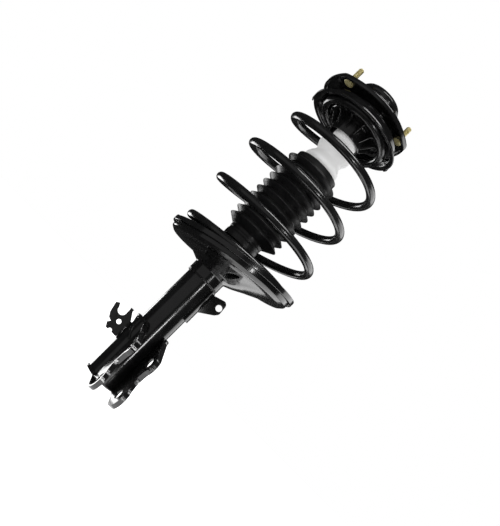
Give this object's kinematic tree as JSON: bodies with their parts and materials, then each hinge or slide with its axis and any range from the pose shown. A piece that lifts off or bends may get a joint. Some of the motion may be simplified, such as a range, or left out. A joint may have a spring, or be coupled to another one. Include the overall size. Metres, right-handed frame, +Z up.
{
  "type": "suspension strut assembly",
  "caption": "Front suspension strut: damper tube with knuckle bracket, coil spring between pressed seats, ribbed boot, foam bump stop and a plate mount with studs.",
  "frame": {"origin": "on the damper's axis at the closed lower end of the tube, between the knuckle bracket's arms", "axes": "+Z up the piston rod's axis; the knuckle bracket's arms open towards -Y; +X is the side with the link tab"},
  "size_m": [0.1964, 0.1916, 0.5467],
  "materials": {
    "black_paint": "gloss black paint",
    "steel": "machined steel",
    "chrome": "hard chrome, ground",
    "rubber": "satin black rubber",
    "foam": "off-white cellular polyurethane",
    "zinc": "yellow zinc plate",
    "plastic": "moulded nylon"
  },
  "bodies": {
    "strut_body": {"strut_tube": "black_paint", "pressure_cylinder": "steel", "base_valve": "steel", "rod_guide": "steel", "rod_seal": "rubber", "tube_cap": "black_paint", "lower_spring_seat": "black_paint", "lower_insulator": "rubber", "knuckle_bracket": "black_paint", "brake_hose_bracket": "black_paint", "stabilizer_link_bracket": "black_paint"},
    "rod": {"piston_rod": "chrome", "piston": "steel", "piston_nut": "steel", "rebound_stop": "plastic", "upper_spring_seat": "black_paint", "upper_insulator": "rubber", "bump_stop": "foam", "coil_spring": "black_paint", "dust_boot": "rubber", "bearing_spacer": "steel", "bearing_inner_race": "steel", "rod_washer": "zinc", "rod_nut": "zinc"},
    "top_mount": {"mount_plate": "black_paint", "mount_stud_1": "zinc", "mount_stud_2": "zinc", "mount_stud_3": "zinc", "mount_dome": "black_paint", "mount_rubber": "rubber", "bearing_housing": "steel", "bearing_outer_race": "steel", "bearing_balls": "steel"}
  },
  "joints": [
    {"name": "suspension_stroke", "type": "slide", "parent": "strut_body", "child": "rod", "axis": [0, 0, 1], "range_m": [-0.12, 0], "stiffness_N_per_m": 24000, "springref_m": 0.04, "deforming": ["coil_spring", "dust_boot", "bump_stop"]},
    {"name": "steering_bearing", "type": "hinge", "parent": "rod", "child": "top_mount", "pos_m": [0, 0, 0.5007], "axis": [0, 0, 1], "range_deg": [-38, 38]}
  ]
}
